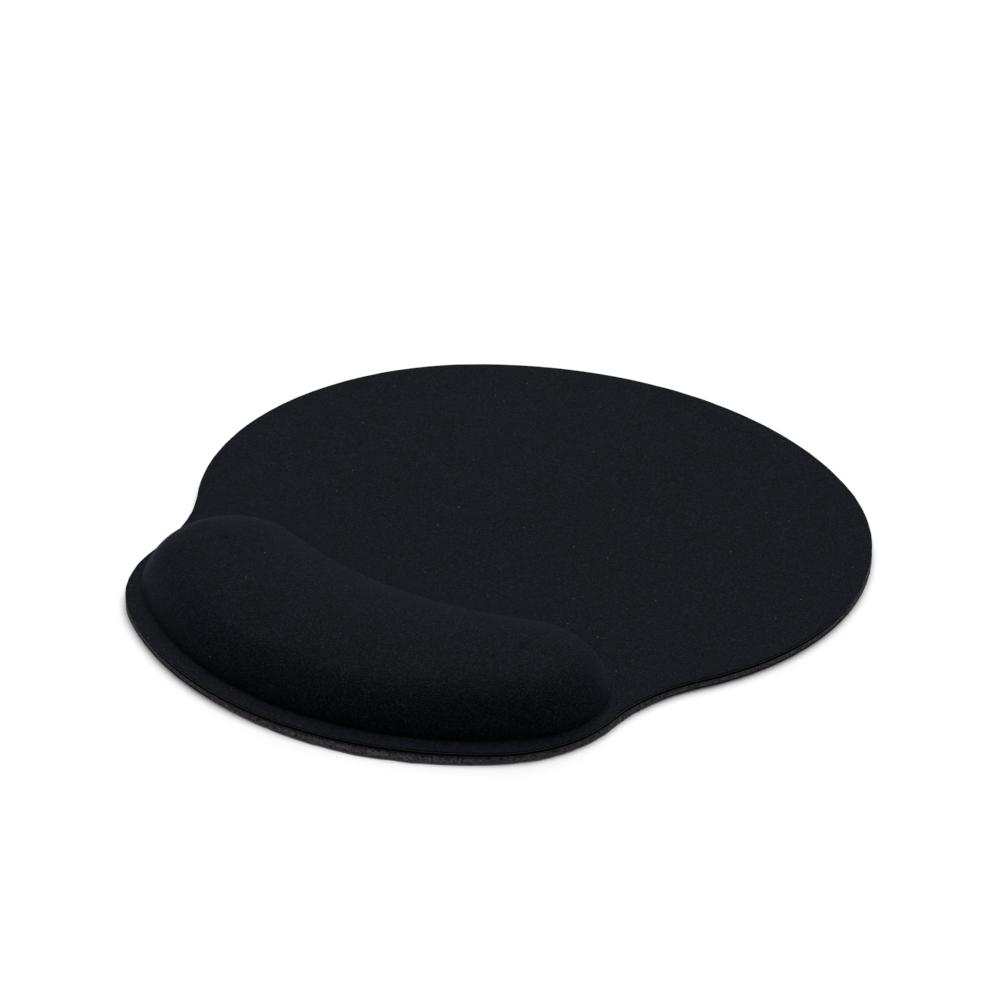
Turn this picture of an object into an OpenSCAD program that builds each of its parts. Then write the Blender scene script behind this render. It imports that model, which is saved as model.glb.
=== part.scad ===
// Mouse pad with a built-in gel wrist rest: a laminated pad with a nearly round mousing area, a waist,
// and a front lobe that carries a domed, kidney-shaped gel cushion under one moulded knit cover.
// Millimetres. The origin is at the middle of the underside; +Y points away from the wrist edge.

/* [Pad outline] */
// Width of the pad across its round mousing area
pad_w = 235; // [205:1:290]
// Length of the pad from the wrist edge to the back edge
pad_l = 251; // [225:1:310]
// Radius of the pad's sides
side_r = 95; // [80:1:100]
// How far the back edge's radius exceeds half the pad's width
back_extra_r = 17.5; // [8:0.5:40]
// Radius of the hollow waist between the mousing area and the front lobe
waist_r = 64; // [50:1:90]

/* [Front lobe] */
// Width of the front lobe
lobe_w = 182; // [150:1:196]
// Radius of the front lobe's corners
corner_r = 45; // [38:1:52]
// How far the wrist edge's radius exceeds half the lobe's width
front_extra_r = 30; // [15:1:60]

/* [Cushion] */
// Flat rim in front of the cushion
rim_front = 6.4; // [5:0.2:12]
// Flat rim at each end of the cushion
rim_side = 4.3; // [3.6:0.1:10]
// Radius of the cushion's rounded ends
end_r = 29.5; // [24:0.5:34]
// How far the middle of the cushion's back edge dips towards the wrist edge
back_dip = 9; // [4:0.5:14]
// Height of the cushion's crest above the mousing surface
crest_h = 16.4; // [10:0.2:24]

/* [Layers] */
// Thickness of the non-slip skin underneath
grip_t = 0.3; // [0.2:0.1:0.8]
// Thickness of the foam base
base_t = 1.8; // [1:0.1:5]
// Thickness of each glue film
glue_t = 0.1; // [0.1:0.05:0.3]
// Thickness of each film of the gel pouch
film_t = 0.45; // [0.3:0.05:0.8]
// Thickness of the knit cover
cover_t = 0.5; // [0.3:0.1:1]
// Width of the weld that joins the pouch's two films
weld_w = 2.5; // [1.5:0.1:3]
// Gap all round between the weld and the backing sheet
pouch_gap = 0.25; // [0.15:0.05:0.5]

/* [Hidden] */

// The backing sheet is as thick as the two welded films, so the cover lies flat over both.
backing_t = 2 * film_t;

// Heights of the layers' upper faces, from the floor up
grip_top = grip_t;
base_top = grip_top + base_t;
base_glue_top = base_top + glue_t;
lower_film_top = base_glue_top + film_t;
backing_top = base_glue_top + backing_t;
cover_glue_top = backing_top + glue_t;
cover_top = cover_glue_top + cover_t;

// How far each shell of the cushion lies inside the cover's outer face
pouch_inset = cover_t;
gel_inset = cover_t + film_t;

// The dome rises as height = crest * (1 - reach ^ swell) ^ (1 / edge), where reach is 1 at the foot
// line and 0 at the crest: a large swell keeps the top broad, and a small edge keeps the foot steep.
swell = 3.7;
edge = 1.42;
// Reach of each ring of the dome from the foot line up, ending at a narrow flat crest
RING_REACH = [1, 0.995, 0.98, 0.95, 0.9, 0.83, 0.74, 0.6, 0.4, 0.12];

// Largest turn between two points of the pad's outline, in degrees
arc_step = 4;
// Segments of the cushion's half foot line: each long edge, and the end between them
long_n = 14;
end_n = 23;

function polar(angle) = [cos(angle), sin(angle)];
function heading(v) = atan2(v.y, v.x);
function leg(hypotenuse, side) = sqrt(hypotenuse * hypotenuse - side * side);

// Points along an arc in n equal steps, both ends included
function arc(centre, r, from, to, n) =
    [for (i = [0 : n]) centre + r * polar(from + (to - from) * i / n)];

// The same, with as many steps as arc_step asks for
function fine_arc(centre, r, from, to) = arc(centre, r, from, to, ceil(abs(to - from) / arc_step));

// Joins arcs that share their end points, without the doubled points
function chain(arcs) =
    [for (i = [0 : len(arcs) - 1]) for (j = [(i == 0 ? 0 : 1) : len(arcs[i]) - 1]) arcs[i][j]];

// A closed ring from its right half, which runs from the front to the back with both ends on the Y axis
function mirrored_ring(half) = let (last = len(half) - 1) concat(
    [for (i = [0 : last]) [i == 0 || i == last ? 0 : half[i].x, half[i].y]],
    [for (i = [last - 1 : -1 : 1]) [-half[i].x, half[i].y]]
);

// Arc centres of the pad's outline; each arc is tangent to the next
back_r = pad_w / 2 + back_extra_r;
front_r = lobe_w / 2 + front_extra_r;
back_c = [0, pad_l / 2 - back_r];
side_c = [pad_w / 2 - side_r, back_c.y + leg(back_r - side_r, pad_w / 2 - side_r)];
front_c = [0, -pad_l / 2 + front_r];
corner_c = [lobe_w / 2 - corner_r, front_c.y - leg(front_r - corner_r, lobe_w / 2 - corner_r)];
side_to_corner = corner_c - side_c;
centre_gap = norm(side_to_corner);
along = side_to_corner / centre_gap;
along_l = ((side_r + waist_r) ^ 2 - (corner_r + waist_r) ^ 2 + centre_gap ^ 2) / (2 * centre_gap);
waist_c = side_c + along_l * along + leg(side_r + waist_r, along_l) * [-along.y, along.x];

// The pad's outline, from the middle of the wrist edge anticlockwise
pad_ring = mirrored_ring(chain([
    fine_arc(front_c, front_r, -90, heading(corner_c - front_c)),
    fine_arc(corner_c, corner_r, heading(corner_c - front_c), heading(waist_c - corner_c)),
    fine_arc(waist_c, waist_r, 180 + heading(waist_c - corner_c), heading(side_c - waist_c)),
    fine_arc(side_c, side_r, heading(waist_c - side_c), 0),
    fine_arc(side_c, side_r, 0, heading(side_c - back_c)),
    fine_arc(back_c, back_r, heading(side_c - back_c), 90)
]));

// Arc centres of the cushion's foot line, which keeps the rims' widths from the pad's edge
foot_front_r = front_r - rim_front;
end_c_x = lobe_w / 2 - rim_side - end_r;
end_c = [end_c_x, front_c.y - leg(foot_front_r - end_r, end_c_x)];
foot_back_y = end_c.y + end_r - back_dip;
dip_c = [0, (end_c * end_c - (end_r - foot_back_y) ^ 2) / (2 * back_dip)];
dip_r = dip_c.y - foot_back_y;

// The foot line moved inwards by inset, or outwards where inset is negative
function foot_ring(inset) = mirrored_ring(chain([
    arc(front_c, foot_front_r - inset, -90, heading(end_c - front_c), long_n),
    arc(end_c, end_r - inset, heading(end_c - front_c), heading(dip_c - end_c), end_n),
    arc(dip_c, dip_r + inset, heading(end_c - dip_c), -90, long_n)
]));

// The crest is an arc midway between the cushion's long edges, from one end's centre to the other's
foot_front_y = front_c.y - foot_front_r;
crest_mid_y = (foot_front_y + foot_back_y) / 2;
crest_rise = end_c.y - crest_mid_y;
crest_r = (end_c.x ^ 2 + crest_rise ^ 2) / (2 * crest_rise);
crest_c = [0, crest_mid_y + crest_r];
crest_turn = asin(end_c.x / crest_r);

// The crest point that each point of the foot line rises towards
crest_ring = mirrored_ring(chain([
    arc(crest_c, crest_r, -90, crest_turn - 90, long_n),
    [for (i = [0 : end_n]) end_c],
    arc(crest_c, crest_r, crest_turn - 90, -90, long_n)
]));

function lift(ring, z) = [for (p = ring) [p.x, p.y, z]];
function dome_z(inset, reach) = cover_top + (crest_h - inset) * (1 - reach ^ swell) ^ (1 / edge);

// Rings of a dome that lies inset below the cover's outer face, from the foot line up
function dome_rings(inset) = let (foot = foot_ring(inset)) [
    for (reach = RING_REACH)
        lift([for (i = [0 : len(foot) - 1]) crest_ring[i] + (foot[i] - crest_ring[i]) * reach],
             dome_z(inset, reach))
];

// The same dome on a short upright wall that starts at height z
function walled_dome_rings(inset, z) = concat([lift(foot_ring(inset), z)], dome_rings(inset));

function joined(lists) = [for (l = lists) for (p = l) p];
function reversed(list) = [for (i = [len(list) - 1 : -1 : 0]) list[i]];

// Flat faces across a ring of n points, seen from above: a band between the long edges, and two ends.
// Point i of the right half faces point half - i, and n - i and half + i are their mirror images.
function cap_faces(first, n) = let (half = n / 2) concat(
    [for (i = [0 : long_n - 1]) [first + half - i, first + half - i - 1, first + i + 1, first + i]],
    [for (i = [0 : long_n - 1])
        [first + (n - i) % n, first + n - i - 1, first + half + i + 1, first + half + i]],
    [[for (i = [long_n + end_n : -1 : long_n]) first + i]],
    [[for (i = [long_n : long_n + end_n]) first + n - i]]
);

// A closed skin over rings of equal length, from the lowest face up and closed across its first and last
module ring_skin(rings) {
    n = len(rings[0]);
    last = len(rings) - 1;
    bands = [
        for (k = [0 : last - 1]) for (i = [0 : n - 1])
            let (next = (i + 1) % n) [k * n + i, (k + 1) * n + i, (k + 1) * n + next, k * n + next]
    ];
    underside = [for (face = cap_faces(0, n)) reversed(face)];
    polyhedron(points = joined(rings), faces = concat(bands, underside, cap_faces(last * n, n)));
}

// A flat sheet cut to the pad's outline
module pad_sheet(z, t) {
    translate([0, 0, z]) linear_extrude(t) polygon(pad_ring);
}

// The sheet with an opening that follows the cushion's foot line
module pad_sheet_round_cushion(z, t, inset) {
    difference() {
        pad_sheet(z, t);
        translate([0, 0, z - 1]) linear_extrude(t + 2) polygon(foot_ring(inset));
    }
}

// Fine-textured polyurethane skin that keeps the pad from sliding
module grip_skin() {
    color("#2b2d2e") pad_sheet(0, grip_t);
}

// Grey foam base, speckled with chips of reground foam
module base_foam() {
    color("#6f6d6a") pad_sheet(grip_top, base_t);
}

// Hot-melt film over the whole base
module base_glue_film() {
    color("#b9b6a6") pad_sheet(base_top, glue_t);
}

// Black backing sheet, cut out round the gel pouch
module backing_foam() {
    color("#141516") pad_sheet_round_cushion(base_glue_top, backing_t, -weld_w - pouch_gap);
}

// Flat film under the gel
module gel_skin_lower() {
    color("#9fb4bd") translate([0, 0, base_glue_top]) linear_extrude(film_t) polygon(foot_ring(-weld_w));
}

// Soft gel that fills the pouch
module gel_core() {
    color("#6aa0b4") ring_skin(walled_dome_rings(gel_inset, lower_film_top));
}

// Domed film over the gel, with the flat weld round it
module gel_skin_upper() {
    weld_ring = foot_ring(-weld_w);
    color("#a9bec6") ring_skin(concat(
        reversed(walled_dome_rings(gel_inset, lower_film_top)),
        [lift(weld_ring, lower_film_top), lift(weld_ring, backing_top)],
        walled_dome_rings(pouch_inset, backing_top)
    ));
}

// Hot-melt film that bonds the cover to the backing sheet and the weld
module cover_glue_film() {
    color("#c7c4b4") pad_sheet_round_cushion(backing_top, glue_t, pouch_inset);
}

// Knit cover in one piece, flat over the pad and moulded over the cushion. The flat part reaches
// halfway into the wall of the moulded part.
module cover_fabric() {
    color("#1f2224") {
        pad_sheet_round_cushion(cover_glue_top, cover_t, pouch_inset / 2);
        ring_skin(concat(
            reversed(walled_dome_rings(pouch_inset, cover_glue_top)),
            walled_dome_rings(0, cover_glue_top)
        ));
    }
}

grip_skin();
base_foam();
base_glue_film();
backing_foam();
gel_skin_lower();
gel_core();
gel_skin_upper();
cover_glue_film();
cover_fabric();
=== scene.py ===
"""A knit-covered mouse pad with a gel wrist rest in its front lobe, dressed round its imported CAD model.

Sizes are in millimetres and become metres where a mesh is made. The origin is at the middle of the
underside, and +Y points away from the wrist edge.
"""

import math

import bpy
import numpy as np
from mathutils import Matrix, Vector, noise


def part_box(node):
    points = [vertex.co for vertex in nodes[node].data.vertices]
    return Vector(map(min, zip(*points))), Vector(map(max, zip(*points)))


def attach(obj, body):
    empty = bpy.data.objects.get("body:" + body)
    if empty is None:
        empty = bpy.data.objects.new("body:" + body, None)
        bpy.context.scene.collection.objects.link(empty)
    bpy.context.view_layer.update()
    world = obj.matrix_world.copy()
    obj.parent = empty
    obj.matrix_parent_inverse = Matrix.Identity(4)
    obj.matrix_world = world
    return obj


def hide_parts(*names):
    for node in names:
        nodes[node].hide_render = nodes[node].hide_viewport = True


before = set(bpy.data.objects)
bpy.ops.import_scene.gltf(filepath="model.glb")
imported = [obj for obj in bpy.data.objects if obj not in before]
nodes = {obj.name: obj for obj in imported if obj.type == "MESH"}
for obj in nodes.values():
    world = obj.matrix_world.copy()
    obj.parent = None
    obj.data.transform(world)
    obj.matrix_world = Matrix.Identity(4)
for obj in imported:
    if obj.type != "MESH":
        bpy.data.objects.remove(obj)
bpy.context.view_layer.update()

MM = 0.001


def cad_size(node, axis):
    """How far a CAD node reaches along an axis, in millimetres."""
    low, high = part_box(node)
    return round((high[axis] - low[axis]) / MM, 2)


def underside(node):
    """Height of a CAD node's lowest point, in millimetres."""
    return round(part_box(node)[0].z / MM, 2)


def top(node):
    """Height of a CAD node's highest point, in millimetres."""
    return round(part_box(node)[1].z / MM, 2)


# The pad's outline: a round mousing area, a hollow waist and a front lobe, all arcs that meet smoothly
PAD_W = cad_size("base_foam", 0)
PAD_L = cad_size("base_foam", 1)
SIDE_R = 95.0
BACK_EXTRA_R = 17.5
WAIST_R = 64.0
LOBE_W = 182.0
CORNER_R = 45.0
FRONT_EXTRA_R = 30.0

# The cushion: the rim left flat round it, its round ends, the dip in its back, and how full its dome is
RIM_FRONT = 6.4
RIM_SIDE = 4.3
END_R = 29.5
BACK_DIP = 9.0
SWELL = 3.7
EDGE = 1.42

# The layers, from the floor up
WELD_W = 2.5
POUCH_GAP = 0.25
FILM_T = cad_size("gel_skin_lower", 2)
FOAM_BOTTOM = underside("base_foam")
FOAM_TOP = top("base_foam")
BACKING_BOTTOM = underside("backing_foam")
BACKING_TOP = top("backing_foam")
LOWER_FILM_TOP = top("gel_skin_lower")
COVER_BOTTOM = underside("cover_fabric")
COVER_T = 0.5
PAD_TOP = COVER_BOTTOM + COVER_T
CREST_H = top("cover_fabric") - PAD_TOP

# Every ring has the same number of points, so that any two can be joined
RING_DENSITY = 4
PAD_STEPS = [RING_DENSITY * n for n in (8, 11, 7, 7, 11, 7)]
LONG_STEPS = 14 * RING_DENSITY
END_STEPS = 23 * RING_DENSITY
HALF_RING = 2 * LONG_STEPS + END_STEPS
RING = 2 * HALF_RING


def heading(v):
    """The direction of a vector, in degrees from +X."""
    return math.degrees(math.atan2(v[1], v[0]))


def leg(hypotenuse, side):
    """The third side of a right triangle."""
    return math.sqrt(hypotenuse**2 - side**2)


def arc(centre, radius, start, end, steps):
    """Points along an arc, from one heading to another."""
    turn = np.radians(np.linspace(start, end, steps + 1))
    return np.array(centre) + radius * np.column_stack([np.cos(turn), np.sin(turn)])


def mirrored_ring(arcs):
    """A closed ring from the arcs of its right half, which runs from the front round to the back."""
    half = np.vstack([arcs[0]] + [points[1:] for points in arcs[1:]])
    half[[0, -1], 0] = 0
    return np.vstack([half, half[-2:0:-1] * [-1, 1]])


back_r = PAD_W / 2 + BACK_EXTRA_R
front_r = LOBE_W / 2 + FRONT_EXTRA_R
back_c = np.array([0, PAD_L / 2 - back_r])
front_c = np.array([0, front_r - PAD_L / 2])
side_c = np.array([PAD_W / 2 - SIDE_R, back_c[1] + leg(back_r - SIDE_R, PAD_W / 2 - SIDE_R)])
corner_c = np.array([LOBE_W / 2 - CORNER_R, front_c[1] - leg(front_r - CORNER_R, LOBE_W / 2 - CORNER_R)])
centre_gap = float(np.linalg.norm(corner_c - side_c))
along = (corner_c - side_c) / centre_gap
along_l = ((SIDE_R + WAIST_R) ** 2 - (CORNER_R + WAIST_R) ** 2 + centre_gap**2) / (2 * centre_gap)
waist_c = side_c + along_l * along + leg(SIDE_R + WAIST_R, along_l) * np.array([-along[1], along[0]])


def pad_ring(inset=0.0):
    """The pad's outline, moved inwards by inset."""
    turns = [
        (front_c, front_r - inset, -90, heading(corner_c - front_c)),
        (corner_c, CORNER_R - inset, heading(corner_c - front_c), heading(waist_c - corner_c)),
        (waist_c, WAIST_R + inset, 180 + heading(waist_c - corner_c), heading(side_c - waist_c)),
        (side_c, SIDE_R - inset, heading(waist_c - side_c), 0),
        (side_c, SIDE_R - inset, 0, heading(side_c - back_c)),
        (back_c, back_r - inset, heading(side_c - back_c), 90),
    ]
    return mirrored_ring([arc(*turn, steps) for turn, steps in zip(turns, PAD_STEPS)])


foot_front_r = front_r - RIM_FRONT
end_c_x = LOBE_W / 2 - RIM_SIDE - END_R
end_c = np.array([end_c_x, front_c[1] - leg(foot_front_r - END_R, end_c_x)])
foot_back_y = end_c[1] + END_R - BACK_DIP
dip_c = np.array([0, (end_c @ end_c - (END_R - foot_back_y) ** 2) / (2 * BACK_DIP)])
dip_r = dip_c[1] - foot_back_y
crest_mid_y = (front_c[1] - foot_front_r + foot_back_y) / 2
crest_rise = end_c[1] - crest_mid_y
crest_r = (end_c_x**2 + crest_rise**2) / (2 * crest_rise)
crest_c = np.array([0, crest_mid_y + crest_r])
crest_turn = math.degrees(math.asin(end_c_x / crest_r))


def foot_ring(inset=0.0):
    """The cushion's foot line, moved inwards by inset."""
    return mirrored_ring([
        arc(front_c, foot_front_r - inset, -90, heading(end_c - front_c), LONG_STEPS),
        arc(end_c, END_R - inset, heading(end_c - front_c), heading(dip_c - end_c), END_STEPS),
        arc(dip_c, dip_r + inset, heading(end_c - dip_c), -90, LONG_STEPS),
    ])


def crest_ring():
    """The point of the crest that each point of the foot line rises towards."""
    return mirrored_ring([
        arc(crest_c, crest_r, -90, crest_turn - 90, LONG_STEPS),
        np.tile(end_c, (END_STEPS + 1, 1)),
        arc(crest_c, crest_r, crest_turn - 90, -90, LONG_STEPS),
    ])


def crest_index(i):
    """Which point of the crest line, counted from its left end, ring point i rises to."""
    right = min(i, RING - i)
    step = min(right, LONG_STEPS, HALF_RING - right)
    return LONG_STEPS + (step if i <= HALF_RING else -step)


CREST = crest_ring()
CREST_FROM = [next(i for i in range(RING) if crest_index(i) == j) for j in range(2 * LONG_STEPS + 1)]

# A knife's path wanders by a tenth of a millimetre or so, every few millimetres
KNIFE_WANDER = 0.16
WANDER_STEP = 2.8


def cut_outline(inset, layer):
    """The pad's outline as the knife left it in one layer of the stack."""
    ring = pad_ring(inset)
    shift = [KNIFE_WANDER * noise.noise(Vector((x / WANDER_STEP, y / WANDER_STEP, layer))) for x, y in ring]
    return ring + (pad_ring() - pad_ring(1.0)) * np.array(shift)[:, None]


def lift(ring, z):
    """A flat ring at a height."""
    return np.column_stack([ring, np.broadcast_to(z, len(ring))])


# Rings up the dome: even steps of a quarter turn, with one more beside the crest
DOME_STEPS = 22
DOME_TURNS = [math.pi / 2 * k / DOME_STEPS for k in range(1, DOME_STEPS)]
BESIDE_CREST = 0.12
DOME_REACHES = [math.cos(turn) ** (2 / SWELL) for turn in DOME_TURNS] + [BESIDE_CREST]
# The knit's small curve where it turns up from the pad, for a curve 1 wide: how far out, and how high
FILLET = [(1.9, 0.0), (1.2, 0.03), (0.65, 0.14), (0.28, 0.36)]
# The curve is a tight crease in front and at the left end, and opens out round the right end
CREASE_WIDTH = 0.3
OPEN_WIDTH = 1.0
OPENS_AT_X = 50.0
OPENS_OVER = 30.0
# Rings across each flat sheet, between its edge and the cushion
FLAT_RINGS = 8


def ease(share):
    """A smooth step from 0 to 1."""
    share = np.clip(share, 0, 1)
    return share * share * (3 - 2 * share)


def dome_rings(inset):
    """A dome that lies inset below the cover's outer face, from the pad up, without its crest line."""
    foot = foot_ring(inset)
    outward = foot_ring(inset - 1) - foot
    width = CREASE_WIDTH + (OPEN_WIDTH - CREASE_WIDTH) * ease((foot[:, 0] - OPENS_AT_X) / OPENS_OVER)
    rings = [lift(foot + outward * (out * width)[:, None], PAD_TOP - inset + up * width)
             for out, up in FILLET]
    for reach in DOME_REACHES:
        z = PAD_TOP + (CREST_H - inset) * (1 - reach**SWELL) ** (1 / EDGE)
        rings.append(lift(CREST + (foot - CREST) * reach, z))
    return rings


def crest_line(inset):
    """The crest of the dome that lies inset below the cover's outer face, from its left end."""
    return lift(CREST, PAD_TOP + CREST_H - inset)[CREST_FROM]


def skin(name, rings, first_crest=None, last_crest=None, looped=False):
    """A mesh over rings of points. A crest line closes it before its first ring or after its last, or the
    last ring joins the first."""
    points = np.vstack(rings)
    faces = []
    count = len(rings)
    for k in range(count if looped else count - 1):
        low, high = k * RING, (k + 1) % count * RING
        for i in range(RING):
            nxt = (i + 1) % RING
            faces.append((low + i, low + nxt, high + nxt, high + i))
    for crest, ring, back in ((first_crest, 0, True), (last_crest, count - 1, False)):
        if crest is None:
            continue
        start, base = len(points), ring * RING
        points = np.vstack([points, crest])
        for i in range(RING):
            nxt = (i + 1) % RING
            face = [base + i, base + nxt, start + crest_index(nxt), start + crest_index(i)]
            face = face[:3] if face[2] == face[3] else face
            faces.append(tuple(reversed(face)) if back else tuple(face))
    mesh = bpy.data.meshes.new(name)
    mesh.from_pydata((points * MM).tolist(), [], faces)
    mesh.validate()
    mesh.shade_smooth()
    piece = bpy.data.objects.new(name, mesh)
    bpy.context.scene.collection.objects.link(piece)
    return piece


def round_off(piece):
    """One pass of subdivision, so that a moulded or cut surface has no facets."""
    rounding = piece.modifiers.new("rounding", "SUBSURF")
    rounding.levels = 1
    rounding.render_levels = 1


# --- The stretched knit over the gel ---------------------------------------------------------------

# The gel's push on the knit, how long the knit is left to settle, and the most it may swell, in millimetres
PRESSURE = 4.0
SIM_FRAMES = 20
MOST_SWELL = 1.3
KNIT_PINNED_RINGS = len(FILLET) + 1
# How the simulation holds the knit: equally stiff pulled and squeezed, and softer in shear
JERSEY = {
    "quality": 8,
    "mass": 0.25,
    "tension_stiffness": 25,
    "compression_stiffness": 25,
    "shear_stiffness": 8,
    "bending_stiffness": 2,
}


def swollen_dome():
    """How far each ring point and crest point moves when the knit is blown up over its gel by cloth
    simulation, in millimetres."""
    rings = dome_rings(0)
    count = len(rings) * RING
    piece = skin("swelling_knit", rings, last_crest=crest_line(0))
    before = np.array([v.co for v in piece.data.vertices])
    pinned = piece.vertex_groups.new(name="sewn_down")
    pinned.add(list(range(KNIT_PINNED_RINGS * RING)), 1.0, "REPLACE")
    cloth = piece.modifiers.new("knit", "CLOTH")
    for setting, value in JERSEY.items():
        setattr(cloth.settings, setting, value)
    cloth.settings.vertex_group_mass = "sewn_down"
    cloth.settings.use_pressure = True
    cloth.settings.uniform_pressure_force = PRESSURE
    cloth.settings.effector_weights.gravity = 0
    cloth.collision_settings.use_collision = False
    cloth.point_cache.frame_start = 1
    cloth.point_cache.frame_end = SIM_FRAMES
    for step in range(1, SIM_FRAMES + 1):
        bpy.context.scene.frame_set(step)
    shaped = piece.evaluated_get(bpy.context.evaluated_depsgraph_get()).to_mesh()
    moved = (np.array([v.co for v in shaped.vertices]) - before) / MM
    bpy.context.scene.frame_set(1)
    bpy.data.objects.remove(piece)
    far = np.linalg.norm(moved, axis=1, keepdims=True)
    moved *= np.minimum(1, MOST_SWELL / np.maximum(far, 1e-9))
    return moved[:count], moved[count:]


ring_swell, crest_swell = swollen_dome()


def shaped_dome(inset):
    """The dome's rings and crest line at that inset, as the swollen knit holds them."""
    rings = dome_rings(inset)
    rings = [ring + ring_swell[k * RING:(k + 1) * RING] for k, ring in enumerate(rings)]
    return rings, crest_line(inset) + crest_swell


def cut_places(rings, crest):
    """Where each point of a moulded dome lay on the flat cloth: as far in from the foot, as a share of the
    way to the crest, as the cloth now runs up the dome."""
    crest_points = crest[[crest_index(i) for i in range(RING)]]
    line = np.stack(rings + [crest_points])
    run = np.cumsum(np.linalg.norm(np.diff(line, axis=0), axis=2), axis=0)
    share = np.vstack([np.zeros((1, RING)), run / run[-1]])[:, :, None]
    places = line[0][:, :2] + (crest_points[:, :2] - line[0][:, :2]) * share
    return list(places[:-1]), crest[:, :2]


# --- Pieces ----------------------------------------------------------------------------------------

# The knit's cut edge, from its underside up: how far in from the outline, and how far above the underside
CUT_EDGE = [(0.25, 0.0), (0.04, 0.03), (0.0, 0.16), (0.02, 0.3), (0.14, 0.42), (0.4, 0.49), (0.8, 0.5)]
# How far in from the outline the flat part of each sheet starts
FLAT_STARTS = 1.4
# Each layer of the stack drifts under the knife in its own way
KNIT_LAYER = 0.5
FOAM_LAYER = 3.5
BACKING_LAYER = 7.5
# The attribute that keeps each point's place on the cut cloth, in millimetres
CUT_PLACE = "cut_place"


def flat_rings(inner, z):
    """Rings across a flat sheet, from near its edge in to a ring."""
    outer = pad_ring(FLAT_STARTS)
    return [lift(outer + (inner - outer) * k / FLAT_RINGS, z) for k in range(FLAT_RINGS)]


def make_knit_cover():
    """The whole cover as one closed cloth: over the top from its cut edge to the crest, and back below."""
    over, over_crest = shaped_dome(0)
    below, below_crest = shaped_dome(COVER_T)
    edge_rings = [lift(cut_outline(inset, KNIT_LAYER), COVER_BOTTOM + up) for inset, up in CUT_EDGE]
    below = below[:len(FILLET)] + below[len(FILLET)::2]
    upper = edge_rings + flat_rings(over[0][:, :2], PAD_TOP)
    lower = flat_rings(below[0][:, :2], COVER_BOTTOM)[::2]
    piece = skin("knit_cover", below[::-1] + lower[::-1] + upper + over,
                 first_crest=below_crest, last_crest=over_crest)
    over_places, over_crest_places = cut_places(over, over_crest)
    below_places, below_crest_places = cut_places(below, below_crest)
    places = np.vstack(below_places[::-1] + [ring[:, :2] for ring in lower[::-1] + upper] + over_places
                       + [below_crest_places, over_crest_places])
    attribute = piece.data.attributes.new(CUT_PLACE, "FLOAT_VECTOR", "POINT")
    attribute.data.foreach_set("vector", lift(places, 0).astype(np.float32).ravel())
    return piece


knit_cover = make_knit_cover()
round_off(knit_cover)
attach(knit_cover, "root")
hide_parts("cover_fabric")

# The foam's front edge spreads under the press that bonds it: how far at most, where, and over what turn
FOAM_SPREAD = 2.2
SPREAD_X = 40.0
SPREAD_HALF_WIDTH = 75.0
# How far the foam's top and bottom corners are rounded in
FOAM_CORNER = 0.25
# How far past the cushion's foot line the rings across the foam turn in towards the crest
FOAM_INNER = 2.0
# The edge of the foam, from its foot up: share of its thickness, and share of the spread
FOAM_EDGE = [(0.0, 0.85), (0.06, 1.0), (0.25, 0.97), (0.5, 0.8), (0.75, 0.45), (0.94, 0.12), (1.0, 0.0)]


def spread_of_front(ring):
    """How far each point of the outline's front edge is pushed out."""
    away = np.abs(ring[:, 0] - SPREAD_X) / SPREAD_HALF_WIDTH
    swell = np.where(away < 1, 0.5 + 0.5 * np.cos(np.pi * away), 0)
    return FOAM_SPREAD * swell * (ring[:, 1] < 0)


def make_foam_base():
    """The foam under everything, with its front edge spread."""
    outline = cut_outline(0.0, FOAM_LAYER)
    push = spread_of_front(outline)[:, None]
    outward = outline - pad_ring(1.0)
    edge_rings = []
    for height, share in FOAM_EDGE:
        inset = FOAM_CORNER * (2 * abs(height - 0.5)) ** 4
        ring = outline + outward * (push * share - inset)
        edge_rings.append(lift(ring, FOAM_BOTTOM + (FOAM_TOP - FOAM_BOTTOM) * height))
    inner = foot_ring(-FOAM_INNER)
    halfway = (CREST + inner) / 2
    lid = flat_rings(inner, FOAM_TOP) + [lift(halfway, FOAM_TOP)]
    bed = flat_rings(inner, FOAM_BOTTOM) + [lift(halfway, FOAM_BOTTOM)]
    return skin("foam_base", bed[::-1] + edge_rings + lid,
                first_crest=lift(CREST, FOAM_BOTTOM)[CREST_FROM],
                last_crest=lift(CREST, FOAM_TOP)[CREST_FROM])


foam_base = make_foam_base()
round_off(foam_base)
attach(foam_base, "root")
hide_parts("base_foam")

# The backing is cut a little short of the knit and the foam. Its edge, from its underside up: how far in,
# and what share of its thickness up
BACKING_RECESS = 0.35
BACKING_EDGE = [(0.12, 0.0), (0.0, 0.12), (0.06, 0.5), (0.0, 0.88), (0.12, 1.0)]


def make_backing_sheet():
    """The black sheet under the knit, with its opening round the pouch."""
    opening = foot_ring(-WELD_W - POUCH_GAP)
    thickness = BACKING_TOP - BACKING_BOTTOM
    edge_rings = [lift(cut_outline(BACKING_RECESS + dip, BACKING_LAYER), BACKING_BOTTOM + thickness * up)
                  for dip, up in BACKING_EDGE]
    lid = flat_rings(opening, BACKING_TOP) + [lift(opening, BACKING_TOP)]
    bed = flat_rings(opening, BACKING_BOTTOM) + [lift(opening, BACKING_BOTTOM)]
    return skin("backing_sheet", bed[::-1] + edge_rings + lid, looped=True)


backing_sheet = make_backing_sheet()
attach(backing_sheet, "root")
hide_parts("backing_foam")

# Air between the knit, the film and the gel as they are laid out. It is too little to keep them apart in
# the finished meshes, where the film sits a few hundredths of a millimetre into the cloth
GAP = 0.03
# The gel's rounded lower corner, and the rings across its flat bed
GEL_CORNER_IN = 0.1
GEL_CORNER_UP = 0.15
BED_REACHES = (0.3, 0.6, 0.85, 0.96)


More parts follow.
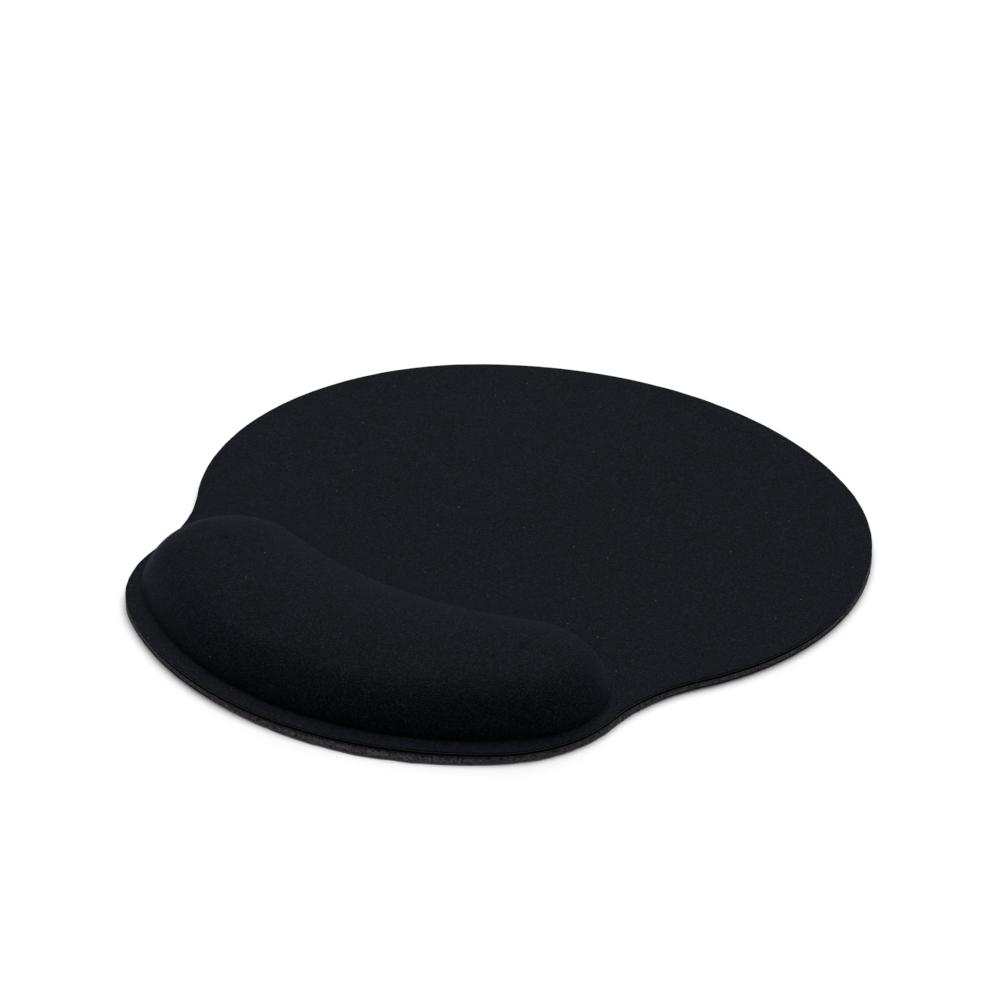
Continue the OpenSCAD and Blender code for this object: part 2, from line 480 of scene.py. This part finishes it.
def make_pouch_film():
    """The domed film over the gel, with its weld."""
    outer, outer_crest = shaped_dome(COVER_T + GAP)
    inner, inner_crest = shaped_dome(COVER_T + FILM_T)
    outer, inner = outer[len(FILLET):], inner[len(FILLET):]
    foot_out, foot_in = foot_ring(COVER_T + GAP), foot_ring(COVER_T + FILM_T)
    weld = foot_ring(-WELD_W)
    flange = [lift(foot_in, LOWER_FILM_TOP), lift(weld, LOWER_FILM_TOP), lift(weld, BACKING_TOP),
              lift(foot_out, BACKING_TOP)]
    return skin("pouch_film", inner[::-1] + flange + outer, first_crest=inner_crest, last_crest=outer_crest)


def make_gel():
    """The gel that fills the pouch, flat below."""
    inset = COVER_T + FILM_T + GAP
    outer, outer_crest = shaped_dome(inset)
    foot = foot_ring(inset)
    floor_z = LOWER_FILM_TOP + GAP
    bed = [lift(CREST + (foot - CREST) * reach, floor_z) for reach in BED_REACHES]
    foot_rings = [lift(foot_ring(inset + GEL_CORNER_IN), floor_z), lift(foot, floor_z + GEL_CORNER_UP),
                  lift(foot, PAD_TOP)]
    return skin("gel_cushion", bed + foot_rings + outer[len(FILLET):],
                first_crest=lift(CREST, floor_z)[CREST_FROM], last_crest=outer_crest)


pouch_film = make_pouch_film()
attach(pouch_film, "root")
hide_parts("gel_skin_upper")
gel_cushion = make_gel()
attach(gel_cushion, "root")
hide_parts("gel_core")


# --- Finishes --------------------------------------------------------------------------------------

def linear(code):
    """An sRGB hex colour as linear red, green, blue and alpha."""
    shares = [int(code[i:i + 2], 16) / 255 for i in (1, 3, 5)]
    return tuple(c / 12.92 if c <= 0.04045 else ((c + 0.055) / 1.055) ** 2.4 for c in shares) + (1.0,)


def add(tree, kind, settings=None, links=None):
    """A node with its settings and the links into it. A setting or link goes by its socket's name or
    place, and a setting with no such socket is the node's own."""
    made = tree.nodes.new("ShaderNode" + kind)
    for name, value in (settings or {}).items():
        if isinstance(name, int) or name in made.inputs:
            made.inputs[name].default_value = value
        else:
            setattr(made, name, value)
    for name, source in (links or {}).items():
        tree.links.new(source, made.inputs[name])
    return made


def finish_named(name, surface):
    """A material whose Principled surface has these uniform values, with its tree and surface node."""
    material = bpy.data.materials.new(name)
    material.use_nodes = True
    tree = material.node_tree
    shader = tree.nodes["Principled BSDF"]
    for socket, value in surface.items():
        shader.inputs[socket].default_value = linear(value) if isinstance(value, str) else value
    return material, tree, shader


def place_in_mm(tree):
    """Each point's place in the object, in millimetres."""
    where = add(tree, "TexCoord").outputs["Object"]
    return add(tree, "VectorMath", {"operation": "SCALE", "Scale": 1 / MM}, {0: where}).outputs[0]


def mixed(tree, factor, a, b):
    """Colour a turning into colour b by a factor. Each colour is a hex code or a socket."""
    node = add(tree, "Mix", {"data_type": "RGBA", "clamp_factor": True}, {0: factor})
    for place, colour in ((6, a), (7, b)):
        if isinstance(colour, str):
            node.inputs[place].default_value = linear(colour)
        else:
            tree.links.new(colour, node.inputs[place])
    return node.outputs[2]


def ramp(tree, value, low, high, to_low=0.0, to_high=1.0):
    """A value's range low to high stretched over another."""
    return add(tree, "MapRange", {"From Min": low, "From Max": high, "To Min": to_low, "To Max": to_high},
               {"Value": value}).outputs[0]


def sum_of(tree, *parts):
    """The sum of value sockets, each with its weight."""
    total = None
    for value, weight in parts:
        links = {0: value} if total is None else {0: value, 2: total}
        total = add(tree, "Math", {"operation": "MULTIPLY_ADD", 1: weight, 2: 0.0}, links).outputs[0]
    return total


# Rows across and along the knit, in millimetres
WALE = 0.8
COURSE = 0.62
# Lint: the cells it lies in, the share of them that hold a speck, and a speck's radius
LINT_CELL = 14.0
LINT_SHARE = 0.17
LINT_R = 0.2


def knit_loops(tree, place):
    """The rows of the knit: wales that run front to back, and the slanting legs of their loops."""
    axes = add(tree, "SeparateXYZ", links={0: place})
    across = add(tree, "Math", {"operation": "MULTIPLY", 1: 1 / WALE}, {0: axes.outputs["X"]}).outputs[0]
    leg_of_loop = add(tree, "Math", {"operation": "PINGPONG", 1: 0.5}, {0: across}).outputs[0]
    slant = sum_of(tree, (axes.outputs["Y"], 1 / COURSE), (leg_of_loop, 1.0))
    wale = add(tree, "Math", {"operation": "COSINE"}, {0: sum_of(tree, (across, 2 * math.pi))}).outputs[0]
    course = add(tree, "Math", {"operation": "COSINE"}, {0: sum_of(tree, (slant, 2 * math.pi))}).outputs[0]
    return wale, course


def black_jersey():
    """Brushed polyester jersey, dyed black: matt, nearly black face on and greyer along the nap, with an
    uneven fibre grain, a few clumps painted bright as glints, faint wales, and a few pale specks of lint."""
    material, tree, shader = finish_named("brushed_black_jersey", {
        "Roughness": 0.7,
        "IOR": 1.45,
        "Specular IOR Level": 0.03,
        "Sheen Weight": 0.06,
        "Sheen Roughness": 0.45,
        "Sheen Tint": "#9cb3cf",
    })
    spot = place_in_mm(tree)
    place = add(tree, "Attribute", {"attribute_name": CUT_PLACE}).outputs["Vector"]
    # Fibres are 0.02 mm thick: their clumps are drawn 0.4 to 0.6 mm wide, which is the finest that shows
    fibre = add(tree, "TexNoise", {"Scale": 1.8, "Detail": 1.0, "Roughness": 0.7}, {"Vector": spot})
    fibre = fibre.outputs[0]
    clump = add(tree, "TexVoronoi", {"Scale": 2.6}, {"Vector": spot})
    clump_pick = add(tree, "SeparateColor", links={0: clump.outputs["Color"]})
    tint = add(tree, "TexNoise", {"Scale": 1.6, "Detail": 1.0}, {"Vector": spot}).outputs[0]
    # The brushed nap lies a little differently every few millimetres
    nap = add(tree, "TexNoise", {"Scale": 0.12, "Detail": 3.0, "Roughness": 0.6}, {"Vector": spot})
    wale, course = knit_loops(tree, place)

    # A high power leaves most clumps dark and paints a few bright in the base colour: random fibre grain, and
    # painted glints of fibre catching the light
    painted_glints = add(tree, "Math", {"operation": "POWER", 1: 6.0}, {0: clump_pick.outputs[0]}).outputs[0]
    shade = sum_of(tree, (ramp(tree, fibre, 0.36, 0.64, 0.3, 1.7), 0.62), (painted_glints, 2.2),
                   (wale, 0.1), (course, 0.05))
    shade = add(tree, "Math", {"operation": "MULTIPLY"},
                {0: shade, 1: ramp(tree, nap.outputs[0], 0.3, 0.7, 0.88, 1.12)}).outputs[0]
    dyed = mixed(tree, ramp(tree, tint, 0.42, 0.58), "#081116", "#100e15")
    cloth = add(tree, "VectorMath", {"operation": "SCALE"}, {0: dyed, "Scale": shade}).outputs[0]

    cells = add(tree, "TexVoronoi", {"voronoi_dimensions": "2D", "Scale": 1 / LINT_CELL}, {"Vector": place})
    cell_pick = add(tree, "SeparateColor", links={0: cells.outputs["Color"]})
    chosen = add(tree, "Math", {"operation": "LESS_THAN", 1: LINT_SHARE}, {0: cell_pick.outputs[1]})
    near = add(tree, "Math", {"operation": "LESS_THAN", 1: LINT_R / LINT_CELL},
               {0: cells.outputs["Distance"]})
    lint = add(tree, "Math", {"operation": "MULTIPLY"}, {0: chosen.outputs[0], 1: near.outputs[0]}).outputs[0]
    tree.links.new(mixed(tree, lint, cloth, "#5d5b59"), shader.inputs["Base Color"])

    height = sum_of(tree, (fibre, 1.0), (wale, 0.12), (course, 0.08), (lint, 1.0))
    raised(tree, shader, height, 1.0, 0.25)
    return material


def reground_foam():
    """Foam bonded from reground grey chips and cut with a die: a matt, speckled and open-pored edge."""
    material, tree, shader = finish_named("reground_grey_foam", {
        "Roughness": 0.85,
        "IOR": 1.45,
        "Specular IOR Level": 0.1,
    })
    spot = place_in_mm(tree)
    chips = add(tree, "TexVoronoi", {"Scale": 2.2}, {"Vector": spot})
    chip_pick = add(tree, "SeparateColor", links={0: chips.outputs["Color"]})
    pores = add(tree, "TexNoise", {"Scale": 2.4, "Detail": 2.0, "Roughness": 0.7}, {"Vector": spot})
    pores = pores.outputs[0]
    colour = mixed(tree, ramp(tree, chip_pick.outputs[0], 0.1, 0.9), "#262327", "#5f5a60")
    colour = mixed(tree, ramp(tree, pores, 0.5, 0.66), colour, "#1a181b")
    tree.links.new(colour, shader.inputs["Base Color"])
    height = sum_of(tree, (pores, 1.0), (chips.outputs["Distance"], 0.3))
    raised(tree, shader, height, 0.8, 0.2)
    return material


def backing_with_painted_gap_shade():
    """Black closed-cell sheet, cut with the knit: a dull dark line between cloth and foam, whose near-black
    colour is partly the sheet's own black and partly painted shade of the gap there.
    """
    material, tree, shader = finish_named("cut_backing_with_painted_gap_shade", {
        "Roughness": 0.8,
        "IOR": 1.5,
        "Specular IOR Level": 0.03,
    })
    spot = place_in_mm(tree)
    grain = add(tree, "TexNoise", {"Scale": 2.0, "Detail": 2.0}, {"Vector": spot}).outputs[0]
    # Near black: the sheet's own black, darkened further as painted shade in the gap between cloth and foam
    colour = mixed(tree, ramp(tree, grain, 0.35, 0.65), "#020203", "#0a0a0b")
    tree.links.new(colour, shader.inputs["Base Color"])
    raised(tree, shader, grain, 0.5, 0.1)
    return material


def uneven(tree, shader, scale, dark, light):
    """A base colour that drifts between two shades, with patches 1 / scale millimetres wide."""
    drift = add(tree, "TexNoise", {"Scale": scale, "Detail": 3.0}, {"Vector": place_in_mm(tree)}).outputs[0]
    tree.links.new(mixed(tree, ramp(tree, drift, 0.35, 0.65), dark, light), shader.inputs["Base Color"])
    return drift


def raised(tree, shader, height, strength, distance):
    """Relief on a surface: a height of one stands this many millimetres above a height of none."""
    bump = add(tree, "Bump", {"Strength": strength, "Distance": distance * MM}, {"Height": height})
    tree.links.new(bump.outputs[0], shader.inputs["Normal"])


def blown_film():
    """Polyurethane film, blown and slit: smooth, bluish and half glossy, with slow thickness bands."""
    material, tree, shader = finish_named("blown_polyurethane_film", {"Roughness": 0.3, "IOR": 1.5})
    bands = uneven(tree, shader, 0.08, "#93a3ab", "#b4c3ca")
    raised(tree, shader, bands, 0.3, 0.05)
    return material


def cast_gel():
    """Polyurethane gel, cast into its pouch: pale blue, wet and glossy, with small trapped bubbles."""
    material, tree, shader = finish_named("cast_polyurethane_gel", {"Roughness": 0.15, "IOR": 1.45})
    uneven(tree, shader, 0.1, "#649bb0", "#80b4c6")
    bubbles = add(tree, "TexVoronoi", {"Scale": 0.5}, {"Vector": place_in_mm(tree)}).outputs["Distance"]
    raised(tree, shader, ramp(tree, bubbles, 0.05, 0.15), 0.4, 0.1)
    return material


def hot_melt_film():
    """Hot-melt adhesive film, melted and pressed: dark, dull, and slightly pebbled where it wet the foam."""
    material, tree, shader = finish_named("pressed_hot_melt_film", {"Roughness": 0.5, "IOR": 1.5})
    pebbles = uneven(tree, shader, 1.0, "#0d0c0d", "#181718")
    raised(tree, shader, pebbles, 0.4, 0.05)
    return material


EMBOSS_PITCH = 2.4


def embossed_rubber():
    """Rubber skin, rolled against an embossed cylinder: dull dark grey, with low lozenges that grip."""
    material, tree, shader = finish_named("embossed_rubber_skin", {"Roughness": 0.65, "IOR": 1.52})
    axes = add(tree, "SeparateXYZ", links={0: place_in_mm(tree)})
    turn = 2 * math.pi / EMBOSS_PITCH
    rows = []
    for slant in (turn, -turn):
        phase = sum_of(tree, (axes.outputs["X"], turn), (axes.outputs["Y"], slant))
        rows.append(add(tree, "Math", {"operation": "COSINE"}, {0: phase}).outputs[0])
    uneven(tree, shader, 0.6, "#222425", "#303334")
    raised(tree, shader, sum_of(tree, (rows[0], 0.25), (rows[1], 0.25)), 0.6, 0.15)
    return material


def studio_paper():
    """Matt seamless paper, pressed from pulp: plain and white, with the faintest mottle."""
    material, tree, shader = finish_named("pressed_white_paper", {"Roughness": 0.9, "IOR": 1.45})
    uneven(tree, shader, 0.02, "#f1f1f0", "#f4f4f3")
    return material


def dress(piece, material):
    """One finish all over a piece."""
    piece.data.materials.clear()
    piece.data.materials.append(material)


dress(knit_cover, black_jersey())
dress(foam_base, reground_foam())
dress(backing_sheet, backing_with_painted_gap_shade())
pouch_finish = blown_film()
dress(pouch_film, pouch_finish)
dress(gel_cushion, cast_gel())
glue_finish = hot_melt_film()
dress(nodes["base_glue_film"], glue_finish)
dress(nodes["cover_glue_film"], glue_finish)
dress(nodes["gel_skin_lower"], pouch_finish)
dress(nodes["grip_skin"], embossed_rubber())

pad_area = 0.5 * abs(np.sum(
    pad_ring()[:, 0] * np.roll(pad_ring()[:, 1], -1) - np.roll(pad_ring()[:, 0], -1) * pad_ring()[:, 1]))


# --- Studio ----------------------------------------------------------------------------------------

def make_floor():
    """Seamless paper, 12 m square."""
    mesh = bpy.data.meshes.new("studio_floor")
    reach = 6.0
    mesh.from_pydata([(-reach, -reach, 0), (reach, -reach, 0), (reach, reach, 0), (-reach, reach, 0)],
                     [], [(0, 1, 2, 3)])
    piece = bpy.data.objects.new("studio_floor", mesh)
    bpy.context.scene.collection.objects.link(piece)
    return piece


studio_floor = make_floor()
dress(studio_floor, studio_paper())

CAMERA_AZIMUTH = 34.81
CAMERA_ELEVATION = 30.24
CAMERA_DISTANCE = 1497.7 * MM
CAMERA_AIM = Vector((-2.13, 7.93, 16.95)) * MM
CAMERA_LENS = 162.0


def toward(azimuth, elevation):
    """The direction of a camera or light that stands at an azimuth and elevation in degrees: azimuth 0 is
    in front of the wrist edge, and 90 to its right."""
    turn, rise = math.radians(azimuth), math.radians(elevation)
    return Vector((math.sin(turn) * math.cos(rise), -math.cos(turn) * math.cos(rise), math.sin(rise)))


toward_camera = toward(CAMERA_AZIMUTH, CAMERA_ELEVATION)
camera_data = bpy.data.cameras.new("camera")
camera_data.lens = CAMERA_LENS
camera_data.clip_start = 0.05
camera_data.clip_end = 50
camera = bpy.data.objects.new("camera", camera_data)
camera.location = CAMERA_AIM + toward_camera * CAMERA_DISTANCE
camera.rotation_euler = toward_camera.to_track_quat("Z", "Y").to_euler()
bpy.context.scene.collection.objects.link(camera)
bpy.context.scene.camera = camera


def soft_light(name, azimuth, elevation, strength, spread):
    """A far, large, soft light. Spread is the angle that it fills, in degrees."""
    data = bpy.data.lights.new(name, "SUN")
    data.energy = strength
    data.angle = math.radians(spread)
    piece = bpy.data.objects.new(name, data)
    piece.rotation_euler = toward(azimuth, elevation).to_track_quat("Z", "Y").to_euler()
    bpy.context.scene.collection.objects.link(piece)


soft_light("overhead_softbox", azimuth=207, elevation=57, strength=3.6, spread=52)

world = bpy.data.worlds.new("studio_air")
world.use_nodes = True
world.node_tree.nodes["Background"].inputs["Color"].default_value = linear("#eef1f5")
world.node_tree.nodes["Background"].inputs["Strength"].default_value = 0.2
bpy.context.scene.world = world
bpy.context.scene.view_settings.view_transform = "Standard"
